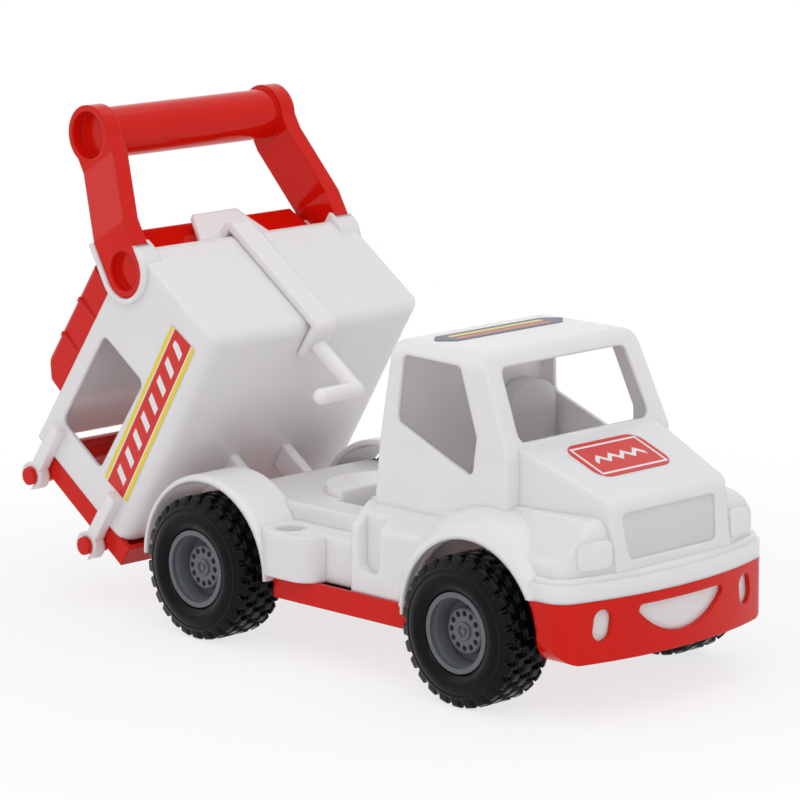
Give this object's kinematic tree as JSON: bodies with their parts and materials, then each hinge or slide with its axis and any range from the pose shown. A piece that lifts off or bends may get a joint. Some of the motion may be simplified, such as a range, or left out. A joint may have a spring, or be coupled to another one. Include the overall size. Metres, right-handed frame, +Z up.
{
  "type": "toy ambulance truck",
  "caption": "Toy ambulance truck with an open cab, rolling treaded wheels, a tipping rear body with a carrying handle, and a hinged tailgate.",
  "frame": {"origin": "middle of the footprint on the ground", "axes": "+X towards the front bumper, +Y to the driver's left, +Z up"},
  "size_m": [0.4596, 0.2, 0.3054],
  "materials": {
    "red_plastic": "gloss moulded polypropylene",
    "white_plastic": "gloss moulded polypropylene, slightly translucent",
    "tyre_rubber": "soft matt plastic",
    "grey_plastic": "satin moulded plastic",
    "steel": "bright drawn rod",
    "label_red": "printed film",
    "label_slate": "printed film"
  },
  "bodies": {
    "body": {"chassis": "red_plastic", "body_shell": "white_plastic", "seat": "white_plastic", "hinge_rod": "steel", "chassis_screws": "steel", "label_roof": "label_slate", "label_hood": "label_red"},
    "front_wheelset": {"front_axle": "steel", "tyre_front_right": "tyre_rubber", "tyre_front_left": "tyre_rubber", "rim_front_right": "grey_plastic", "rim_front_left": "grey_plastic"},
    "rear_wheelset": {"rear_axle": "steel", "tyre_rear_right": "tyre_rubber", "tyre_rear_left": "tyre_rubber", "rim_rear_right": "grey_plastic", "rim_rear_left": "grey_plastic"},
    "bed": {"bed_shell": "white_plastic", "bed_roof": "red_plastic", "handle": "red_plastic", "latch_strap": "white_plastic", "label_right": "label_red", "label_left": "label_red"},
    "tailgate": {"tailgate": "red_plastic"}
  },
  "joints": [
    {"name": "front_axle_spin", "type": "hinge", "parent": "body", "child": "front_wheelset", "pos_m": [0.14782, 0, 0.043], "axis": [0, 1, 0], "continuous": true},
    {"name": "rear_axle_spin", "type": "hinge", "parent": "body", "child": "rear_wheelset", "pos_m": [-0.06718, 0, 0.043], "axis": [0, 1, 0], "continuous": true},
    {"name": "bed_tip", "type": "hinge", "parent": "body", "child": "bed", "pos_m": [-0.09318, 0, 0.0683], "axis": [0, 1, 0], "range_deg": [0, 55]},
    {"name": "tailgate_swing", "type": "hinge", "parent": "bed", "child": "tailgate", "pos_m": [-0.22112, 0, 0.07511], "axis": [0, 1, 0], "range_deg": [0, 100]}
  ]
}
